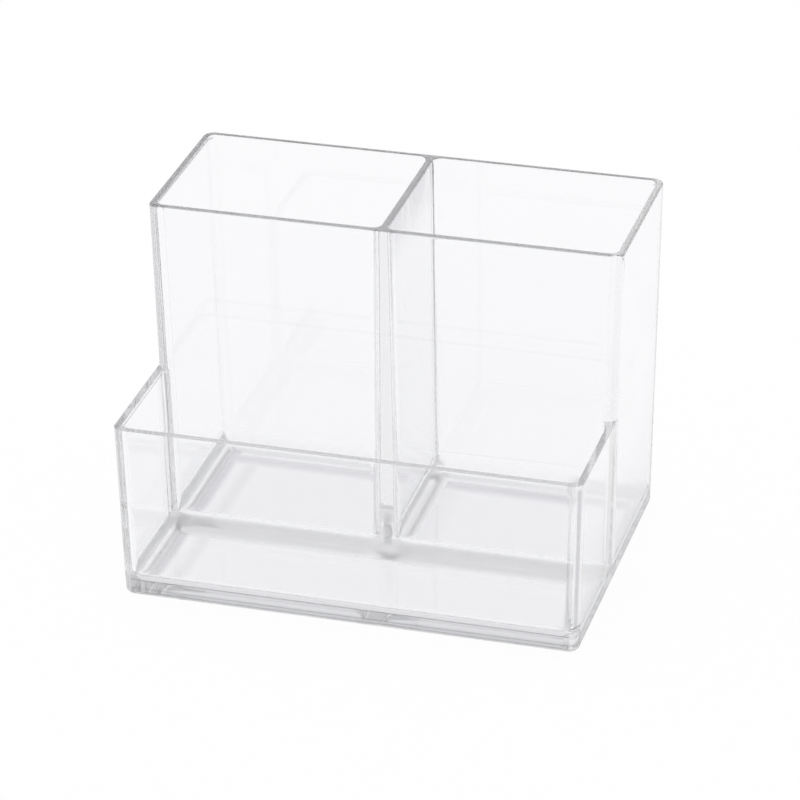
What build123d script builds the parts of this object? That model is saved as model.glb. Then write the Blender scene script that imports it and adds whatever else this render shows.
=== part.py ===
"""Clear makeup brush holder: two tall bins side by side behind one low tray.

The holder is seven clear plastic pieces bonded edge to edge: a coved base tray, a back wall, two stepped
side walls, a low front wall, a tall partition and a centre divider. A wide cove runs round each floor and a
small one up each inside corner, and each bonded seam lies just clear of them, where two plates meet square.

Frame: +Z up, +Y to the back, origin on the table under the middle of the rim's outline.
"""

import os
from math import radians, tan

from build123d import *

# Overall sizes, in millimetres
overall_width = 132.0  # across the rim of the tall bins
overall_depth = 89.6  # from the rim of the tray to the rim of the back wall
tall_height = 100.0
tray_height = 51.0
bin_depth = 51.5  # from the front of the partition to the back, at the tall rim

# Plates
side_wall = 2.0  # left and right walls, measured level
end_wall = 2.0  # front and back walls, measured level
partition_rim = 2.0  # thickness of the partition at the tall rim
divider_rim = 2.1  # thickness of the centre divider at the tall rim
floor = 3.0

# Leans, in degrees from upright: the outer walls flare upwards, the inner plates thicken downwards
side_lean = 1.25
end_lean = 0.3
plate_taper = 0.55

# Rounded edges
corner_radius = 3.0  # upright outside corners
floor_cove = 5.0  # inside, round each floor
upright_cove = 2.4  # inside, up each corner
foot_radius = 2.0  # round the underside
rim_radius = 0.7  # edges of the tall rim

# Bonding and cutting
seam_land = 0.3  # from the end of a cove to the seam beside it
overrun = 1.0  # how far a cutting block passes the face that it cuts

side_slope = tan(radians(side_lean))
end_slope = tan(radians(end_lean))
plate_slope = tan(radians(plate_taper))
stub = upright_cove + seam_land  # how far a wall carries its coves past its inside face
base_height = floor + floor_cove + seam_land


# Where each face stands at a height z
def side_face(z):
    return overall_width / 2 - side_slope * (tall_height - z)


def side_inside(z):
    return side_face(z) - side_wall


def back_face(z):
    return overall_depth / 2 - end_slope * (tall_height - z)


def back_inside(z):
    return back_face(z) - end_wall


def front_face(z):
    return -overall_depth / 2 + end_slope * (tray_height - z)


def front_inside(z):
    return front_face(z) + end_wall


def partition_front(z):
    return overall_depth / 2 - bin_depth - plate_slope * (tall_height - z)


def partition_back(z):
    return overall_depth / 2 - bin_depth + partition_rim + plate_slope * (tall_height - z)


def divider_side(z):
    return divider_rim / 2 + plate_slope * (tall_height - z)


def block(left, right, front, back, bottom, top):
    """A block between two heights whose four sides follow faces given as functions of the height."""
    with BuildPart() as made:
        for z in (bottom, top):
            with BuildSketch(Plane.XY.offset(z)):
                with BuildLine():
                    Polyline(
                        (left(z), front(z)),
                        (right(z), front(z)),
                        (right(z), back(z)),
                        (left(z), back(z)),
                        close=True,
                    )
                make_face()
        loft(ruled=True)
    return made.part


def compartment(left, right, front, back, top):
    """The hollow of one compartment, with a wide cove round its floor and a small one up each corner."""
    with BuildPart() as made:
        add(block(left, right, front, back, floor, top + overrun))
        fillet(made.edges().group_by(Axis.Z)[0], floor_cove)
        corners = made.edges().filter_by(lambda edge: edge.bounding_box().size.Z > floor_cove / 2)
        fillet(corners, upright_cove)
    return made.part


def mirrored(face):
    return lambda z: -face(z)


tray_hollow = compartment(mirrored(side_inside), side_inside, front_inside, partition_front, tray_height)
right_hollow = compartment(divider_side, side_inside, partition_back, back_inside, tall_height)
left_hollow = mirror(right_hollow, about=Plane.YZ)

# The step that leaves the tray low in front of the partition
step = block(
    lambda z: -overall_width,
    lambda z: overall_width,
    lambda z: -overall_depth,
    partition_front,
    tray_height,
    tall_height + overrun,
)
envelope = block(mirrored(side_face), side_face, front_face, back_face, 0, tall_height)

# The whole holder as one clear body, before it is divided into its bonded pieces
with BuildPart() as holder:
    add(envelope)
    add(step, mode=Mode.SUBTRACT)
    uprights = holder.edges().filter_by(lambda edge: edge.bounding_box().size.Z > floor)
    fillet(uprights, corner_radius)
    fillet(holder.edges().group_by(Axis.Z)[0], foot_radius)
    for hollow in (tray_hollow, right_hollow, left_hollow):
        add(hollow, mode=Mode.SUBTRACT)
    fillet(holder.faces().sort_by(Axis.Z)[-1].edges(), rim_radius)

# Seams between the pieces, each facing out of the middle of the holder; the mitres face the right side wall
base_seam = Plane.XY.offset(base_height)
side_seam = Plane(origin=(side_inside(0) - stub, 0, 0), z_dir=(1, 0, -side_slope))
back_seam = Plane(origin=(0, back_inside(0) - stub, 0), z_dir=(0, 1, -end_slope))
front_seam = Plane(origin=(0, front_inside(0) + stub, 0), z_dir=(0, -1, -end_slope))
partition_seam = Plane(origin=(0, partition_back(0) + stub, 0), z_dir=(0, 1, plate_slope))
back_mitre = Plane(origin=(side_face(0), back_face(0), 0), z_dir=(1, -1, end_slope - side_slope))
front_mitre = Plane(origin=(side_face(0), front_face(0), 0), z_dir=(1, 1, end_slope - side_slope))


def left_hand(plane):
    """The same seam on the left half of the holder."""
    spot, out = plane.origin, plane.z_dir
    return Plane(origin=(-spot.X, spot.Y, spot.Z), z_dir=(-out.X, out.Y, out.Z))


with BuildPart() as base_tray:
    add(holder.part)
    split(bisect_by=base_seam, keep=Keep.BOTTOM)

with BuildPart() as upper:
    add(holder.part)
    split(bisect_by=base_seam, keep=Keep.TOP)

with BuildPart() as right_side_wall:
    add(upper.part)
    for seam in (side_seam, back_mitre, front_mitre):
        split(bisect_by=seam, keep=Keep.TOP)

with BuildPart() as left_side_wall:
    mirror(right_side_wall.part, about=Plane.YZ)

with BuildPart() as back_wall:
    add(upper.part)
    split(bisect_by=back_seam, keep=Keep.TOP)
    for seam in (back_mitre, left_hand(back_mitre)):
        split(bisect_by=seam, keep=Keep.BOTTOM)

with BuildPart() as front_wall:
    add(upper.part)
    split(bisect_by=front_seam, keep=Keep.TOP)
    for seam in (front_mitre, left_hand(front_mitre)):
        split(bisect_by=seam, keep=Keep.BOTTOM)

with BuildPart() as partition:
    add(upper.part)
    for seam in (side_seam, left_hand(side_seam), front_seam, partition_seam):
        split(bisect_by=seam, keep=Keep.BOTTOM)

with BuildPart() as centre_divider:
    add(upper.part)
    for seam in (side_seam, left_hand(side_seam), back_seam):
        split(bisect_by=seam, keep=Keep.BOTTOM)
    split(bisect_by=partition_seam, keep=Keep.TOP)

pieces = {
    "base_tray": base_tray,
    "back_wall": back_wall,
    "left_side_wall": left_side_wall,
    "right_side_wall": right_side_wall,
    "front_wall": front_wall,
    "partition": partition,
    "centre_divider": centre_divider,
}
os.makedirs("parts", exist_ok=True)
for name, piece in pieces.items():
    piece.part.label = name
    export_step(piece.part, f"parts/{name}.step")
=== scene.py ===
"""Clear brush holder: finishes its bonded pieces in clear plastic and stands it in a plain white studio."""

import math

import bpy
from bpy.props import FloatProperty, FloatVectorProperty, IntProperty, PointerProperty
from mathutils import Matrix, Vector
from mathutils.bvhtree import BVHTree


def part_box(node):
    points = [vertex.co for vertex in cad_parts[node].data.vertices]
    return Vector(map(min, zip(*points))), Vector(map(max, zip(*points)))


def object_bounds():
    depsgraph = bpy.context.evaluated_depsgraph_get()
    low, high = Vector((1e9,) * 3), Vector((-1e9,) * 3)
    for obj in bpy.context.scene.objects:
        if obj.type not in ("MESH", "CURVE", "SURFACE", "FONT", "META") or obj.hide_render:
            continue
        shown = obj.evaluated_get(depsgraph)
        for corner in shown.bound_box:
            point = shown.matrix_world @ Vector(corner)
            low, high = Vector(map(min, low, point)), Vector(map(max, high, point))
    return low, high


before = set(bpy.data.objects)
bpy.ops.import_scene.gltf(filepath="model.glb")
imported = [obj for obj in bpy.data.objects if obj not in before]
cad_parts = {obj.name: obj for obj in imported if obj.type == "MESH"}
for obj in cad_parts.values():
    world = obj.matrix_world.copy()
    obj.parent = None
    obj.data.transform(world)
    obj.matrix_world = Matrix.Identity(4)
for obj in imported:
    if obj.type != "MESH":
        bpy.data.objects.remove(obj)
cad_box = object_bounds()

bl_info = {
    "name": "Clear brush holder",
    "version": (1, 0, 0),
    "blender": (4, 5, 0),
    "location": "View3D > Sidebar > Holder",
    "description": "Finishes a bonded clear brush holder and sets its studio",
    "category": "Object",
}

OUTER_WALLS = ("back_wall", "left_side_wall", "right_side_wall", "front_wall")
INNER_PLATES = ("partition", "centre_divider")
PLASTIC = "clear_moulded_plastic"
SEAM = "bonded_seam"
WHITE = (1, 1, 1, 1)
BLACK = (0, 0, 0, 1)
LEVEL = (0.99, 0.9999)  # upward part of a normal, from nearly level to level


class ClearPlasticSettings(bpy.types.PropertyGroup):
    """Finish of the moulded clear plastic."""

    tint: FloatVectorProperty(
        name="Tint",
        description="Colour of light that passes a face",
        subtype="COLOR",
        size=3,
        min=0.0,
        max=1.0,
        default=(0.985, 0.988, 1.0),
    )
    ior: FloatProperty(
        name="Refractive index",
        description="Refractive index of clear polystyrene",
        min=1.0,
        default=1.55,
    )
    loss: FloatProperty(
        name="Loss",
        description="How fast light is lost along its path inside the plastic, per metre",
        min=0.0,
        default=2.0,
    )
    polish: FloatProperty(
        name="Roughness",
        description="Roughness of the polished faces",
        subtype="FACTOR",
        min=0.0,
        max=1.0,
        default=0.0,
    )
    smudge: FloatProperty(
        name="Smudges",
        description="Roughness that handling adds in patches",
        subtype="FACTOR",
        min=0.0,
        max=1.0,
        default=0.06,
    )
    smudge_length: FloatProperty(
        name="Smudge length",
        description="Distance from one smudge to the next",
        unit="LENGTH",
        default=0.018,
    )
    ripple_length: FloatProperty(
        name="Ripple length",
        description="Distance between the slow ripples that moulding leaves in a wall",
        unit="LENGTH",
        default=0.022,
    )
    ripple_height: FloatProperty(
        name="Ripple height",
        description="Height of those ripples",
        unit="LENGTH",
        precision=6,
        default=0.000001,
    )
    speck_spacing: FloatProperty(
        name="Speck spacing",
        description="Size of the cells that may hold one speck of dust each",
        unit="LENGTH",
        default=0.010,
    )
    speck_size: FloatProperty(
        name="Speck size",
        description="Radius of the largest specks",
        unit="LENGTH",
        precision=5,
        default=0.0002,
    )
    speck_colour: FloatVectorProperty(
        name="Speck colour",
        description="Colour that light takes on through a speck",
        subtype="COLOR",
        size=3,
        min=0.0,
        max=1.0,
        default=(0.30, 0.30, 0.32),
    )


class EdgeSettings(bpy.types.PropertyGroup):
    """Painted shade on the rims, ends, base, floors and feet of the plates, standing in for shade that the
    plastic shows by bending light; also drag marks, frost and sizes.
    """

    # Painted shade on the tall rim: dark grey for the shade the rim shows, nearly clear on its right side,
    # which shows more light.
    tall_rim: FloatVectorProperty(
        name="Tall rim",
        description="Colour of light out of the tall rim, but for its right side",
        subtype="COLOR",
        size=3,
        min=0.0,
        max=1.0,
        default=(0.36, 0.36, 0.38),
    )
    tall_rim_right: FloatVectorProperty(
        name="Tall rim, right",
        description="Colour of light out of the tall rim's right side",
        subtype="COLOR",
        size=3,
        min=0.0,
        max=1.0,
        default=(0.95, 0.95, 0.97),
    )
    # Painted shade on the tray's rim, lighter on its right side.
    tray_rim: FloatVectorProperty(
        name="Tray rim",
        description="Colour of light out of the tray's rim, but for its right side",
        subtype="COLOR",
        size=3,
        min=0.0,
        max=1.0,
        default=(0.64, 0.64, 0.67),
    )
    tray_rim_right: FloatVectorProperty(
        name="Tray rim, right",
        description="Colour of light out of the tray rim's right side",
        subtype="COLOR",
        size=3,
        min=0.0,
        max=1.0,
        default=(0.84, 0.84, 0.87),
    )
    # Painted shade: a thin dark line under the rim's inside edge, for the shade its rounding refracts.
    rim_shade_line: FloatVectorProperty(
        name="Rim line",
        description="Colour of the thin line under the inside edge of a side rim",
        subtype="COLOR",
        size=3,
        min=0.0,
        max=1.0,
        default=(0.34, 0.34, 0.37),
    )
    # Painted shade at the front ends of the side walls.
    plate_end_shade: FloatVectorProperty(
        name="Plate end",
        description="Colour of light that comes along a side wall to its front end",
        subtype="COLOR",
        size=3,
        min=0.0,
        max=1.0,
        default=(0.90, 0.90, 0.93),
    )
    # Painted shade: a grey band on the outside of the base, for the shade seen through it.
    base_edge_shade: FloatVectorProperty(
        name="Base edge",
        description="Colour of light that comes along the floor",
        subtype="COLOR",
        size=3,
        min=0.0,
        max=1.0,
        default=(0.64, 0.64, 0.67),
    )
    # Painted shade: thin dark lines along the base edge.
    base_shade_line: FloatVectorProperty(
        name="Base line",
        description="Colour of the thin lines along the base edge",
        subtype="COLOR",
        size=3,
        min=0.0,
        max=1.0,
        default=(0.28, 0.28, 0.31),
    )
    # Painted shade: upright dark lines in the tray's corners.
    corner_shade_line: FloatVectorProperty(
        name="Corner line",
        description="Colour of the upright lines in the tray's corners",
        subtype="COLOR",
        size=3,
        min=0.0,
        max=1.0,
        default=(0.46, 0.46, 0.49),
    )
    # Painted shade: the floors are tinted darker to stand in for the shade under the holder.
    floor: FloatVectorProperty(
        name="Floor",
        description="Colour of light through the floors",
        subtype="COLOR",
        size=3,
        min=0.0,
        max=1.0,
        default=(0.915, 0.915, 0.93),
    )
    foot_shade: FloatVectorProperty(
        name="Foot shade",
        description="Colour of the soft shade along the feet of the plates, where it is deepest",
        subtype="COLOR",
        size=3,
        min=0.0,
        max=1.0,
        default=(0.44, 0.44, 0.47),
    )
    drag_mark: FloatVectorProperty(
        name="Drag mark",
        description="Colour of light through the drag marks on the divider",
        subtype="COLOR",
        size=3,
        min=0.0,
        max=1.0,
        default=(0.60, 0.60, 0.64),
    )
    drag_pitch: FloatProperty(
        name="Drag pitch",
        description="Distance between the drag marks",
        unit="LENGTH",
        precision=4,
        default=0.002,
    )
    drag_length: FloatProperty(
        name="Drag length",
        description="How far the drag marks run down from the rim",
        unit="LENGTH",
        default=0.018,
    )
    rim_frost: FloatProperty(
        name="Rim frost",
        description="Roughness of the rims as they come from the mould",
        subtype="FACTOR",
        min=0.0,
        max=1.0,
        default=0.08,
    )
    cove_frost: FloatProperty(
        name="Cove frost",
        description="Roughness of the coves, which are hard to polish in the mould",
        subtype="FACTOR",
        min=0.0,
        max=1.0,
        default=0.3,
    )
    wall: FloatProperty(
        name="Wall",
        description="Thickness of the walls and of the divider",
        unit="LENGTH",
        precision=4,
        default=0.002,
    )
    cove: FloatProperty(
        name="Cove",
        description="Radius of the coves round the floors",
        unit="LENGTH",
        precision=4,
        default=0.005,
    )
    # Place of the painted shade line under the rim.
    line_drop: FloatProperty(
        name="Rim line drop",
        description="How far the rim line lies under the rim",
        unit="LENGTH",
        precision=5,
        default=0.00082,
    )
    line_width: FloatProperty(
        name="Rim line width",
        description="How far the rim line reaches up and down from its middle",
        unit="LENGTH",
        precision=5,
        default=0.0005,
    )
    # Width and heights of the painted shade lines along the base edge.
    base_shade_line_width: FloatProperty(
        name="Base line width",
        description="How far a line along the base edge reaches up and down from its middle",
        unit="LENGTH",
        precision=5,
        default=0.00035,
    )
    base_shade_lines: FloatVectorProperty(
        name="Base lines",
        description="Heights of the thin lines along the base edge",
        unit="LENGTH",
        size=3,
        precision=5,
        default=(0.0053, 0.00265, 0.0016),
    )


class StudioSettings(bpy.types.PropertyGroup):
    """Floor, light and surroundings."""

    floor_size: FloatProperty(
        name="Floor size",
        description="Width of the floor",
        unit="LENGTH",
        default=30.0,
    )
    floor_gap: FloatProperty(
        name="Air gap",
        description="Air left under the base by the grain of the table",
        unit="LENGTH",
        precision=6,
        default=0.0001,
    )
    floor_colour: FloatVectorProperty(
        name="Floor colour",
        description="Colour of the table top",
        subtype="COLOR",
        size=3,
        min=0.0,
        max=1.0,
        default=(0.92, 0.92, 0.925),
    )
    floor_glow: FloatProperty(
        name="Floor whiteness",
        description="Share of the floor that is shown as plain white paper",
        subtype="FACTOR",
        min=0.0,
        max=1.0,
        default=0.93,
    )
    glass_glow: FloatProperty(
        name="Whiteness through the plastic",
        description="The same share, where the floor shows through or off the plastic",
        subtype="FACTOR",
        min=0.0,
        max=1.0,
        default=0.8,
    )
    glass_white: FloatVectorProperty(
        name="White through the plastic",
        description="Colour of that paper through or off the plastic",
        subtype="COLOR",
        size=3,
        min=0.0,
        max=1.0,
        default=(0.975, 0.972, 0.98),
    )
    sky_level: FloatProperty(
        name="Fill light",
        description="Even light from all round",
        min=0.0,
        default=1.0,
    )
    horizon_level: FloatProperty(
        name="Backdrop level",
        description="Brightness of the backdrop that shows through and off the holder",
        min=0.0,
        default=1.0,
    )
    ceiling_level: FloatProperty(
        name="Ceiling level",
        description="Brightness of the ceiling that shows through and off the holder",
        min=0.0,
        default=0.8,
    )
    ceiling_start: FloatProperty(
        name="Ceiling start",
        description="Elevation where the backdrop begins to fade into the ceiling",
        subtype="ANGLE",
        default=math.radians(6),
    )
    ceiling_end: FloatProperty(
        name="Ceiling end",
        description="Elevation where only the ceiling is left",
        subtype="ANGLE",
        default=math.radians(22),
    )
    lamp_power: FloatProperty(
        name="Lamp power",
        description="Power of the overhead softbox, in watts",
        min=0.0,
        default=1.0,
    )
    lamp_size: FloatProperty(
        name="Lamp size",
        description="Width of the softbox",
        unit="LENGTH",
        default=1.5,
    )
    lamp_place: FloatVectorProperty(
        name="Lamp place",
        description="Where the softbox hangs",
        subtype="TRANSLATION",
        size=3,
        default=(-0.35, 0.1, 1.2),
    )


class CameraSettings(bpy.types.PropertyGroup):
    """The photograph's viewpoint."""

    azimuth: FloatProperty(
        name="Azimuth",
        description="Angle round the holder, from the front towards its right",
        subtype="ANGLE",
        default=math.radians(16.37),
    )
    elevation: FloatProperty(
        name="Elevation",
        description="Angle above the table",
        subtype="ANGLE",
        default=math.radians(27.41),
    )
    roll: FloatProperty(
        name="Roll",
        description="Tilt about the line of sight",
        subtype="ANGLE",
        default=math.radians(-0.84),
    )
    distance: FloatProperty(
        name="Distance",
        description="Distance from the holder's middle",
        unit="LENGTH",
        default=1.1283,
    )
    across: FloatProperty(
        name="Across",
        description="How far the camera stands to its right of the line to the holder's middle",
        unit="LENGTH",
        precision=5,
        default=0.00264,
    )
    above: FloatProperty(
        name="Above",
        description="How far the camera stands above that line",
        unit="LENGTH",
        precision=5,
        default=-0.00365,
    )
    lens: FloatProperty(
        name="Lens",
        description="Focal length, in millimetres",
        min=1.0,
        default=185.9,
    )
    sensor: FloatProperty(
        name="Sensor",
        description="Sensor width, in millimetres",
        min=1.0,
        default=36.0,
    )


class LightPathSettings(bpy.types.PropertyGroup):
    """How far light is followed inside the plastic."""

    bounces: IntProperty(
        name="Bounces",
        description="Reflections followed along a wall",
        min=1,
        default=64,
    )
    blur: FloatProperty(
        name="Blur",
        description="Softening of light that the plastic has bent",
        min=0.0,
        default=0.0,
    )


class HolderSettings(bpy.types.PropertyGroup):
    """All settings of the holder."""

    plastic: PointerProperty(
        name="Plastic",
        description="Finish of the clear plastic",
        type=ClearPlasticSettings,
    )
    edges: PointerProperty(
        name="Edges",
        description="Edges and ends of the plates",
        type=EdgeSettings,
    )
    studio: PointerProperty(
        name="Studio",
        description="Floor, light and surroundings",
        type=StudioSettings,
    )
    camera: PointerProperty(
        name="Camera",
        description="The photograph's viewpoint",
        type=CameraSettings,
    )
    paths: PointerProperty(
        name="Light paths",
        description="How far light is followed",
        type=LightPathSettings,
    )


class Value:
    """One output of a node; arithmetic on it adds Math nodes."""

    def __init__(self, graph, socket):
        self.graph = graph
        self.socket = socket

    def math(self, operation, *values):
        inputs = dict(enumerate(values))
        return self.graph.add("ShaderNodeMath", {"operation": operation}, inputs)

    def __add__(self, other):
        return self.math("ADD", self, other)

    __radd__ = __add__

    def __sub__(self, other):
        return self.math("SUBTRACT", self, other)

    def __rsub__(self, other):
        return self.math("SUBTRACT", other, self)

    def __mul__(self, other):
        return self.math("MULTIPLY", self, other)

    __rmul__ = __mul__

    def __truediv__(self, other):
        return self.math("DIVIDE", self, other)

    def __rtruediv__(self, other):
        return self.math("DIVIDE", other, self)

    def __neg__(self):
        return 0 - self

    def __abs__(self):
        return self.math("ABSOLUTE", self)

    def power_of_e(self):
        return self.math("EXPONENT", self)

    def atleast(self, other):
        return self.math("MAXIMUM", self, other)

    def rise(self, start, end):
        """A smooth step from zero at the start to one at the end."""
        inputs = {"Value": self, "From Min": start, "From Max": end}
        return self.graph.add("ShaderNodeMapRange", {"interpolation_type": "SMOOTHSTEP"}, inputs)

    def fall(self, start, end):
        """A smooth step from one at the start to zero at the end."""
        return 1 - self.rise(start, end)

    def band(self, middle, reach):
        """One in the middle of a band, zero outside its reach."""
        return self.rise(middle - reach, middle) * self.fall(middle, middle + reach)


class Graph:
    """A node tree that is built from scratch."""

    def __init__(self, owner):
        owner.use_nodes = True
        self.tree = owner.node_tree
        self.tree.nodes.clear()

    def add(self, kind, settings=None, inputs=None, output=0):
        """Add one node: its settings first, then the values or links of its sockets."""
        node = self.tree.nodes.new(kind)
        for name, value in (settings or {}).items():
            setattr(node, name, value)
        for name, value in (inputs or {}).items():
            if isinstance(value, Value):
                self.tree.links.new(value.socket, node.inputs[name])
            else:
                node.inputs[name].default_value = value
        return Value(self, node.outputs[output]) if node.outputs else None

    def parts(self, vector):
        """The three parts of a vector."""
        return [self.add("ShaderNodeSeparateXYZ", inputs={"Vector": vector}, output=axis) for axis in "XYZ"]

    def blend(self, mask, first, second):
        """A colour that goes from the first to the second as the mask rises."""
        inputs = {"Factor": mask, "A": first, "B": second}
        return self.add("ShaderNodeMix", {"data_type": "RGBA"}, inputs, output="Result")

    def noise(self, place, length, detail):
        """Soft noise whose patches are about a length apart."""
        inputs = {"Vector": place, "Scale": 1 / length, "Detail": detail}
        return self.add("ShaderNodeTexNoise", inputs=inputs, output="Fac")


def opaque(colour):
    return (*colour, 1.0)


def greatest(*masks):
    """The greatest of several masks."""
    result = masks[0]
    for mask in masks[1:]:
        result = result.atleast(mask)
    return result


class Spot:
    """A point of the plastic: where it lies and faces, and the heights and planes that matter there."""

    def __init__(self, graph):
        self.place = graph.add("ShaderNodeTexCoord", output="Object")
        self.x, self.y, self.z = graph.parts(self.place)
        normal = graph.add("ShaderNodeNewGeometry", output="Normal")
        self.facing_x, self.facing_y, self.facing_z = graph.parts(normal)
        self.aside = abs(self.x)
        self.tall_rim = cad_box[1].z
        self.half_width = cad_box[1].x
        self.tray_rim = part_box("front_wall")[1].z
        self.partition_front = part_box("partition")[0].y
        base_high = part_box("base_tray")[1]
        self.base_top = base_high.z
        self.half_foot = base_high.x
        self.back_face = base_high.y
        fade = 0.9 * self.base_top
        self.above_base = self.z.rise(fade, self.base_top)
        self.low = 1 - self.above_base
        self.level_floor = self.low * self.facing_z.rise(*LEVEL)

    def side_face(self):
        """How far out the side walls' outside face stands at this height."""
        flare = (self.half_width - self.half_foot) / (self.tall_rim - self.base_top)
        return self.half_width - (self.tall_rim - self.z) * flare


# In each mask, a pair says where a step starts and ends: upward, forward, sideways and turned ones are parts
# of a face's normal, the others are places in metres. A share is how far the mask's colour is taken.


# Mask for the rims' painted shade and their frost.
def rim(spot, edges):
    """The upward faces of the rims, further down their outside than their inside."""
    upward = (0.62, 0.72)
    side_reach = 0.6
    end_reach = 0.15
    high = spot.z.rise(spot.tray_rim - edges.line_drop, spot.tray_rim - edges.line_drop / 2)
    bin_middle = (spot.back_face + spot.partition_front) / 2
    behind = spot.y.rise(bin_middle - edges.wall, bin_middle + edges.wall) * 2 - 1
    outward = spot.facing_x * spot.x / spot.half_width * side_reach + spot.facing_y * behind * end_reach
    return high * (spot.facing_z + outward).rise(*upward)


def rim_shade_line(spot, edges):
    """A thin painted shade line under the inside edge of the side rims."""
    inward = (0.5 * spot.half_width, 0.75 * spot.half_width)
    inside = (-(spot.x * spot.facing_x)).rise(*inward)
    tall = (spot.tall_rim - spot.z).band(edges.line_drop, edges.line_width)
    tray = (spot.tray_rim - spot.z).band(edges.line_drop, edges.line_width)
    in_tray = (spot.partition_front - spot.y).rise(0, edges.wall)
    return inside * tall.atleast(tray * in_tray)


def plate_end_shade(spot, edges):
    """Painted shade at the front ends of the side walls."""
    forward = (0.1, 0.5)
    in_wall = (spot.aside - spot.side_face() + edges.wall).rise(0, edges.wall / 4)
    return (-spot.facing_y).rise(*forward) * in_wall


def divider_foot_shade(spot, edges):
    """Painted shade on the partition's front, where the divider's foot shows through it, a little to the
    right of its middle.
    """
    forward = (0.8, 0.95)
    top = (1.65 * spot.base_top, 1.95 * spot.base_top)
    middle = 0.6 * edges.wall
    side = (0.3 * edges.wall, 0.8 * edges.wall)
    share = 0.75
    on_partition = (spot.y - spot.partition_front).rise(-edges.wall, -edges.wall / 2)
    narrow = abs(spot.x - middle).fall(*side)
    return (-spot.facing_y).rise(*forward) * on_partition * spot.z.fall(*top) * narrow * share


def base_edge_shade(spot):
    """Painted shade on the outside of the base, up to the floor's coves and fainter round the corners."""
    top = (0.72 * spot.base_top, 0.94 * spot.base_top)
    upward = (0.01, 0.03)
    off_underside = (-0.995, -0.95)
    turned = (0.1, 0.3)
    corner_loss = 0.7
    outside = spot.facing_z.fall(*upward) * spot.facing_z.rise(*off_underside)
    corner = abs(spot.facing_x * spot.facing_y).rise(*turned)
    return spot.z.fall(*top) * outside * (1 - corner * corner_loss)


def base_shade_lines(spot, edges):
    """Thin painted shade lines along the base edge."""
    lines = [spot.z.band(height, edges.base_shade_line_width) for height in edges.base_shade_lines]
    return base_edge_shade(spot) * greatest(*lines)


def corner_shade_lines(spot, edges):
    """Upright painted shade lines: one down the tray's front right corner, and one in each corner beside the
    partition.
    """
    forward = (0.3, 0.45)
    turned = (0.5, 0.6)
    turned_past = (0.8, 0.9)
    halfway_reach = 0.2
    ahead = spot.partition_front - spot.y
    in_front = ahead.rise(2 * edges.cove, 4 * edges.cove)
    outer = spot.facing_x.rise(*turned) * spot.facing_x.fall(*turned_past) * in_front
    beside = ahead.rise(-edges.wall, 0) * ahead.fall(edges.wall, 2 * edges.wall)
    inner = beside * (abs(spot.facing_x) + spot.facing_y).band(0, halfway_reach)
    upright = spot.above_base * spot.z.fall(spot.tray_rim - edges.wall, spot.tray_rim)
    return (-spot.facing_y).rise(*forward) * upright * inner.atleast(outer)


def cove(spot):
    """The coves round the floors."""
    upward = (0.05, 0.2)
    return spot.low * spot.facing_z.rise(*upward) * spot.facing_z.fall(*LEVEL)


def partition_shade(spot, edges):
    """Shade in the tray's cove under the partition, fainter where the divider stands behind it."""
    upward = (0.1, 0.6)
    end = (0.6 * edges.cove, 1.3 * edges.cove)
    share = 0.5
    at_divider = 0.4
    ahead = spot.partition_front - spot.y
    foot = ahead.rise(-edges.wall, 0) * ahead.fall(*end) * spot.facing_z.rise(*upward)
    beside = spot.aside.rise(edges.wall, 3 * edges.wall)
    return foot * (beside * (1 - at_divider) + at_divider) * share


def left_shade(spot, edges):
    """Shade at the foot of the left coves, and a fainter band on the floors beside them."""
    upward = (0.93, 0.985)
    end = (0.0005, 0.0025)
    share = 0.85
    band_middle = 0.0064
    band_reach = 0.0035
    band_share = 0.32
    from_cove = spot.x + (spot.half_foot - edges.wall - edges.cove)
    foot = from_cove.fall(*end) * spot.facing_z.rise(*upward)
    band = spot.level_floor * from_cove.band(band_middle, band_reach)
    return (foot * share).atleast(band * band_share)


def right_shade(spot, edges):
    """Shade in the right coves."""
    upward = (0.05, 0.3)
    end = (-0.0015, 0.0005)
    share = 0.5
    from_cove = (spot.half_foot - edges.wall - edges.cove) - spot.x
    return from_cove.fall(*end) * spot.facing_z.rise(*upward) * share


def back_shade(spot, edges):
    """Shade along the back: a band on the floors, the coves' foot, and the right end of the right cove."""
    band_start = (0, 0.002)
    band_end = (0.0035, 0.0075)
    band_share = 0.75
    rightwards = (-0.02, 0.05)
    right_gain = 0.15
    cove_end = (-0.001, 0)
    foot_upward = (0.85, 0.95)
    foot_share = 0.4
    corner_upward = (0.3, 0.7)
    corner_start = (0.038, 0.046)
    corner_share = 0.8
    from_cove = (spot.back_face - edges.wall - edges.cove) - spot.y
    band = spot.level_floor * from_cove.rise(*band_start) * from_cove.fall(*band_end)
    band = band * (spot.x.rise(*rightwards) * right_gain + band_share)
    in_cove = from_cove.fall(*cove_end)
    foot = in_cove * spot.facing_z.rise(*foot_upward) * foot_share
    corner = in_cove * spot.facing_z.rise(*corner_upward) * spot.x.rise(*corner_start) * corner_share
    return greatest(band, foot, corner)


def divider_shade(spot, edges):
    """A faint band on the right bin's floor, beside the divider."""
    upward = (0.9, 0.98)
    start = (0.005, 0.008)
    end = (0.008, 0.016)
    share = 0.22
    in_bins = (spot.y - spot.partition_front).rise(0, edges.wall)
    return spot.facing_z.rise(*upward) * in_bins * spot.x.rise(*start) * spot.x.fall(*end) * share


def right_wall_shade(spot, edges):
    """Shade on the outside of the right wall, fading upwards."""
    sideways = (0.9, 0.99)
    top = (0.010, 0.045)
    share = 0.28
    outside = spot.x.rise(spot.half_foot - edges.wall, spot.half_foot - edges.wall / 2)
    return spot.facing_x.rise(*sideways) * outside * spot.z.fall(*top) * share


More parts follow.
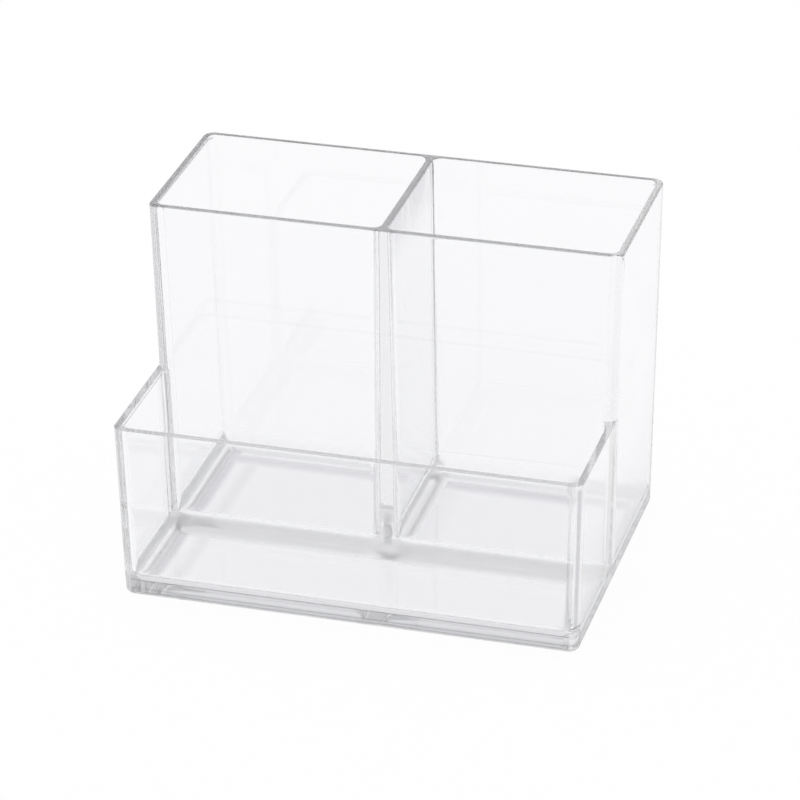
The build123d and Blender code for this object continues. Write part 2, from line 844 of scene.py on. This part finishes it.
def foot_shade(spot, edges):
    """Soft shade along the feet of the plates and low on the outside of the right wall."""
    feet = [
        shade(spot, edges)
        for shade in (partition_shade, left_shade, right_shade, back_shade, divider_shade)
    ]
    return (spot.low * greatest(*feet)).atleast(right_wall_shade(spot, edges))


def drag_marks(graph, spot, edges):
    """Fine upright marks near the top of the divider, where the mould was drawn out."""
    sideways = (0.9, 0.99)
    marked = (0.2, 0.55)
    stretch = (0, 1 / edges.drag_pitch, 1 / edges.drag_length)
    stretched = graph.add("ShaderNodeVectorMath", {"operation": "MULTIPLY"}, {0: spot.place, 1: stretch})
    streak = graph.noise(stretched, length=1.0, detail=2.0)
    on_divider = abs(spot.facing_x).rise(*sideways) * spot.aside.fall(edges.wall, 1.5 * edges.wall)
    top = spot.z.rise(spot.tall_rim - edges.drag_length, spot.tall_rim)
    return on_divider * top * streak.rise(*marked)


def dust(graph, spot, settings):
    """A few specks, at most one in each cell."""
    inputs = {"Vector": spot.place, "Scale": 1 / settings.speck_spacing}
    distance = graph.add("ShaderNodeTexVoronoi", inputs=inputs, output="Distance")
    return distance.fall(0, settings.speck_size / settings.speck_spacing)


def rim_shade_colour(graph, spot, edges):
    """The rims' painted shade, which differs between the tall rim and the tray's and is lighter on the right
    side.
    """
    rightwards = spot.x.rise(spot.half_width - 2 * edges.wall, spot.half_width - edges.wall)
    tall = graph.blend(rightwards, opaque(edges.tall_rim), opaque(edges.tall_rim_right))
    tray = graph.blend(rightwards, opaque(edges.tray_rim), opaque(edges.tray_rim_right))
    return graph.blend(spot.z.rise(spot.tray_rim, spot.tall_rim), tray, tall)


def plastic_colour_and_shade(graph, spot, on_rim, settings, edges):
    """The plastic's colour, with painted shade on its edges, floors and feet, drag marks and dust laid over
    it in turn.
    """
    colour = opaque(settings.tint)
    for mask, shade in (
        # Painted shade: floors, feet, plate ends, the divider's foot, base edge and lines, corner lines,
        # rims and rim line; the drag marks and dust are the plastic's own.
        (spot.level_floor, opaque(edges.floor)),
        (foot_shade(spot, edges), opaque(edges.foot_shade)),
        (plate_end_shade(spot, edges), opaque(edges.plate_end_shade)),
        (divider_foot_shade(spot, edges), opaque(edges.foot_shade)),
        (base_edge_shade(spot), opaque(edges.base_edge_shade)),
        (base_shade_lines(spot, edges), opaque(edges.base_shade_line)),
        (corner_shade_lines(spot, edges), opaque(edges.corner_shade_line)),
        (drag_marks(graph, spot, edges), opaque(edges.drag_mark)),
        (on_rim, rim_shade_colour(graph, spot, edges)),
        (rim_shade_line(spot, edges), opaque(edges.rim_shade_line)),
        (dust(graph, spot, settings), opaque(settings.speck_colour)),
    ):
        colour = graph.blend(mask, colour, shade)
    return colour


def plastic_roughness(graph, spot, on_rim, settings, edges):
    """Polish with faint smudges, and frost on the rims and coves."""
    smudged = (0.45, 0.75)
    patch = graph.noise(spot.place, settings.smudge_length, detail=3.0)
    smudges = patch.rise(*smudged) * settings.smudge + settings.polish
    return smudges + on_rim * edges.rim_frost + cove(spot) * edges.cove_frost


def inner_side(graph, settings, roughness, normal):
    """A face met from inside the plastic: the longer the path to it, the more light is lost."""
    travelled = graph.add("ShaderNodeLightPath", output="Ray Length")
    kept = (travelled * -settings.loss).power_of_e()
    clear, dark = [
        graph.add(
            "ShaderNodeBsdfGlass",
            inputs={"Color": colour, "Roughness": roughness, "IOR": settings.ior, "Normal": normal},
        )
        for colour in (WHITE, BLACK)
    ]
    return graph.add("ShaderNodeMixShader", inputs={0: kept, 1: dark, 2: clear})


def clear_plastic(settings, edges):
    """Polished clear plastic: painted shade on its edges and feet, slow moulding ripples, faint smudges and
    a few specks of dust.
    """
    material = bpy.data.materials.new(PLASTIC)
    graph = Graph(material)
    spot = Spot(graph)
    on_rim = rim(spot, edges)
    roughness = plastic_roughness(graph, spot, on_rim, settings, edges)
    ripple = graph.noise(spot.place, settings.ripple_length, detail=1.0)
    normal = graph.add("ShaderNodeBump", inputs={"Height": ripple, "Distance": settings.ripple_height})
    outside = graph.add(
        "ShaderNodeBsdfPrincipled",
        inputs={
            "Base Color": plastic_colour_and_shade(graph, spot, on_rim, settings, edges),
            "Roughness": roughness,
            "IOR": settings.ior,
            "Transmission Weight": 1.0,
            "Normal": normal,
        },
    )
    from_inside = graph.add("ShaderNodeNewGeometry", output="Backfacing")
    inside = inner_side(graph, settings, roughness, normal)
    surface = graph.add("ShaderNodeMixShader", inputs={0: from_inside, 1: outside, 2: inside})
    graph.add("ShaderNodeOutputMaterial", inputs={"Surface": surface})
    return material


def bonded_seam():
    """A cemented joint, which light passes as if the plastic went on."""
    material = bpy.data.materials.new(SEAM)
    graph = Graph(material)
    surface = graph.add("ShaderNodeBsdfTransparent", inputs={"Color": WHITE})
    graph.add("ShaderNodeOutputMaterial", inputs={"Surface": surface})
    return material


def bonded_faces(node):
    """Indices of a node's faces that lie on a face of another node and look the other way."""
    reach = 2e-6
    opposite = -0.99
    others = []
    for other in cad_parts.values():
        if other is not node:
            corners = [vertex.co for vertex in other.data.vertices]
            faces = [face.vertices[:] for face in other.data.polygons]
            others.append(BVHTree.FromPolygons(corners, faces))
    found = []
    for face in node.data.polygons:
        for tree in others:
            normal = tree.find_nearest(face.center, reach)[1]
            if normal is not None and normal.dot(face.normal) < opposite:
                found.append(face.index)
                break
    return found


def finish_piece(name, plastic, seam):
    """Give a node its plastic, and its bonded faces the seam."""
    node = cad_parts[name]
    node.data.materials.clear()
    node.data.materials.append(plastic)
    node.data.materials.append(seam)
    for face in node.data.polygons:
        face.material_index = 0
    for index in bonded_faces(node):
        node.data.polygons[index].material_index = 1


def shared_materials(context):
    """The plastic and the seam, made once."""
    plastic = bpy.data.materials.get(PLASTIC)
    if plastic is None:
        plastic = clear_plastic(context.scene.holder.plastic, context.scene.holder.edges)
    seam = bpy.data.materials.get(SEAM)
    if seam is None:
        seam = bonded_seam()
    return plastic, seam


class HOLDER_OT_base_tray(bpy.types.Operator):
    """Finish the coved base tray"""

    bl_idname = "holder.base_tray"
    bl_label = "Base tray"

    def execute(self, context):
        finish_piece("base_tray", *shared_materials(context))
        return {"FINISHED"}


class HOLDER_OT_outer_walls(bpy.types.Operator):
    """Finish the back, side and front walls"""

    bl_idname = "holder.outer_walls"
    bl_label = "Outer walls"

    def execute(self, context):
        for name in OUTER_WALLS:
            finish_piece(name, *shared_materials(context))
        return {"FINISHED"}


class HOLDER_OT_inner_plates(bpy.types.Operator):
    """Finish the partition and the centre divider"""

    bl_idname = "holder.inner_plates"
    bl_label = "Inner plates"

    def execute(self, context):
        for name in INNER_PLATES:
            finish_piece(name, *shared_materials(context))
        return {"FINISHED"}


def seen_through(graph):
    """One for a ray that comes through or off the plastic, otherwise zero."""
    off = graph.add("ShaderNodeLightPath", output="Is Glossy Ray")
    through = graph.add("ShaderNodeLightPath", output="Is Transmission Ray")
    return off.atleast(through)


def table_top(settings):
    """White table that keeps the holder's shadow."""
    material = bpy.data.materials.new("white_table_top")
    graph = Graph(material)
    shaded = graph.add("ShaderNodeBsdfDiffuse", inputs={"Color": opaque(settings.floor_colour)})
    glass = seen_through(graph)
    white = graph.blend(glass, WHITE, opaque(settings.glass_white))
    paper = graph.add("ShaderNodeEmission", inputs={"Color": white, "Strength": 1.0})
    direct = graph.add("ShaderNodeLightPath", output="Is Camera Ray")
    whiteness = direct * settings.floor_glow + glass * settings.glass_glow
    surface = graph.add("ShaderNodeMixShader", inputs={0: whiteness, 1: shaded, 2: paper})
    graph.add("ShaderNodeOutputMaterial", inputs={"Surface": surface})
    return material


def surroundings(settings):
    """White to the camera, a backdrop and a darker ceiling to the plastic, and even light to the rest."""
    world = bpy.data.worlds.new("white_studio")
    graph = Graph(world)
    direction = graph.add("ShaderNodeTexCoord", output="Generated")
    height = graph.parts(direction)[2]
    level = graph.add(
        "ShaderNodeMapRange",
        {"interpolation_type": "SMOOTHSTEP"},
        {
            "Value": height,
            "From Min": math.sin(settings.ceiling_start),
            "From Max": math.sin(settings.ceiling_end),
            "To Min": settings.horizon_level,
            "To Max": settings.ceiling_level,
        },
    )
    backdrop, fill, white = [
        graph.add("ShaderNodeBackground", inputs={"Color": WHITE, "Strength": strength})
        for strength in (level, settings.sky_level, 1.0)
    ]
    light = graph.add("ShaderNodeMixShader", inputs={0: seen_through(graph), 1: fill, 2: backdrop})
    direct = graph.add("ShaderNodeLightPath", output="Is Camera Ray")
    shown = graph.add("ShaderNodeMixShader", inputs={0: direct, 1: light, 2: white})
    graph.add("ShaderNodeOutputWorld", inputs={"Surface": shown})
    return world


def add_floor(scene, settings):
    """A table top just under the base."""
    half = settings.floor_size / 2
    drop = -settings.floor_gap
    corners = [(-half, -half, drop), (half, -half, drop), (half, half, drop), (-half, half, drop)]
    mesh = bpy.data.meshes.new("table_top")
    mesh.from_pydata(corners, [], [(0, 1, 2, 3)])
    mesh.materials.append(table_top(settings))
    floor = bpy.data.objects.new("table_top", mesh)
    scene.collection.objects.link(floor)


def add_lamp(scene, settings):
    """One overhead softbox that faces the holder."""
    lamp = bpy.data.lights.new("softbox", "AREA")
    lamp.energy = settings.lamp_power
    lamp.size = settings.lamp_size
    softbox = bpy.data.objects.new("softbox", lamp)
    softbox.location = settings.lamp_place
    softbox.rotation_euler = (-Vector(settings.lamp_place)).to_track_quat("-Z", "Y").to_euler()
    scene.collection.objects.link(softbox)


def add_camera(scene, settings):
    """The photograph's camera, aimed at the middle of the holder's height."""
    azimuth, elevation = settings.azimuth, settings.elevation
    right = Vector((math.cos(azimuth), math.sin(azimuth), 0))
    level = Vector((-math.sin(azimuth), math.cos(azimuth), 0))
    ahead = level * math.cos(elevation) - Vector((0, 0, math.sin(elevation)))
    turn = Matrix.Rotation(settings.roll, 3, -ahead)
    right = turn @ right
    up = right.cross(ahead)
    middle = (cad_box[0] + cad_box[1]) / 2
    place = middle + right * settings.across + up * settings.above - ahead * settings.distance
    lens = bpy.data.cameras.new("camera")
    lens.lens = settings.lens
    lens.sensor_width = settings.sensor
    camera = bpy.data.objects.new("camera", lens)
    camera.matrix_world = Matrix.Translation(place) @ Matrix((right, up, -ahead)).transposed().to_4x4()
    scene.collection.objects.link(camera)
    scene.camera = camera


class HOLDER_OT_studio(bpy.types.Operator):
    """Set up the table, light, surroundings and camera"""

    bl_idname = "holder.studio"
    bl_label = "Studio"

    def execute(self, context):
        scene = context.scene
        settings = scene.holder
        add_floor(scene, settings.studio)
        add_lamp(scene, settings.studio)
        scene.world = surroundings(settings.studio)
        add_camera(scene, settings.camera)
        scene.view_settings.view_transform = "Standard"
        bounces = settings.paths.bounces
        scene.cycles.max_bounces = bounces
        scene.cycles.transmission_bounces = bounces
        scene.cycles.glossy_bounces = bounces
        scene.cycles.transparent_max_bounces = bounces
        scene.cycles.blur_glossy = settings.paths.blur
        return {"FINISHED"}


class HOLDER_PT_sidebar(bpy.types.Panel):
    """Lists the holder's operators"""

    bl_label = "Brush holder"
    bl_idname = "HOLDER_PT_sidebar"
    bl_space_type = "VIEW_3D"
    bl_region_type = "UI"
    bl_category = "Holder"

    def draw(self, context):
        for operator in OPERATORS:
            self.layout.operator(operator.bl_idname)


OPERATORS = (HOLDER_OT_base_tray, HOLDER_OT_outer_walls, HOLDER_OT_inner_plates, HOLDER_OT_studio)
SETTINGS = (
    ClearPlasticSettings,
    EdgeSettings,
    StudioSettings,
    CameraSettings,
    LightPathSettings,
    HolderSettings,
)
CLASSES = SETTINGS + OPERATORS + (HOLDER_PT_sidebar,)


def register():
    for cls in CLASSES:
        bpy.utils.register_class(cls)
    bpy.types.Scene.holder = PointerProperty(
        name="Brush holder",
        description="Settings of the clear brush holder",
        type=HolderSettings,
    )


def unregister():
    del bpy.types.Scene.holder
    for cls in reversed(CLASSES):
        bpy.utils.unregister_class(cls)


def main():
    register()
    bpy.ops.holder.base_tray()
    bpy.ops.holder.outer_walls()
    bpy.ops.holder.inner_plates()
    bpy.ops.holder.studio()


if __name__ == "__main__":
    main()
